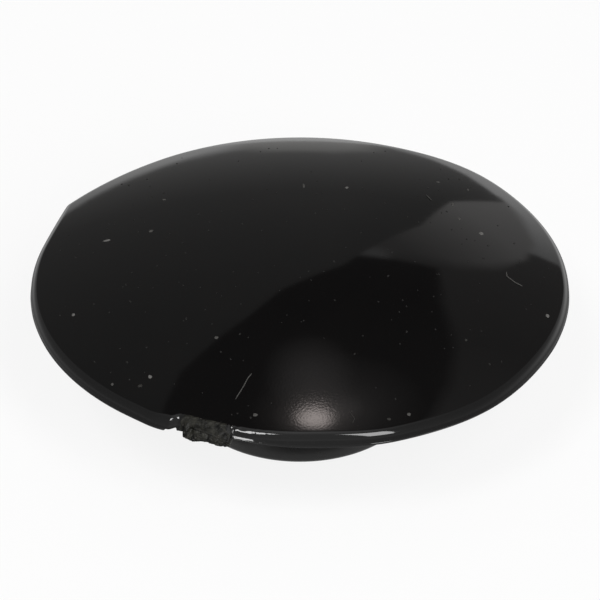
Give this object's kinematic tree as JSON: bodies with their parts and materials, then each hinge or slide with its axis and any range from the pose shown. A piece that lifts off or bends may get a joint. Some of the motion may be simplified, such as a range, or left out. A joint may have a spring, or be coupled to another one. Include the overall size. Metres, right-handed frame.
{
  "type": "plastic hole plug",
  "caption": "Round plastic plug that closes a panel hole: thin glossy lens-shaped head over a short hollow push-in stem, moulded in one piece.",
  "frame": {"origin": "centre of the seating plane, the flat ring under the head's rim that rests on the panel, on the plug's axis", "axes": "+Z along the axis out of the panel, towards the top of the dome; the stem points to -Z; -Y is the front, where the broken gate lies at azimuth -109.5 degrees"},
  "size_m": [0.028, 0.028, 0.0095],
  "materials": {
    "black_plastic": "gloss"
  },
  "bodies": {
    "root": {"hole_plug": "black_plastic"}
  },
  "joints": []
}
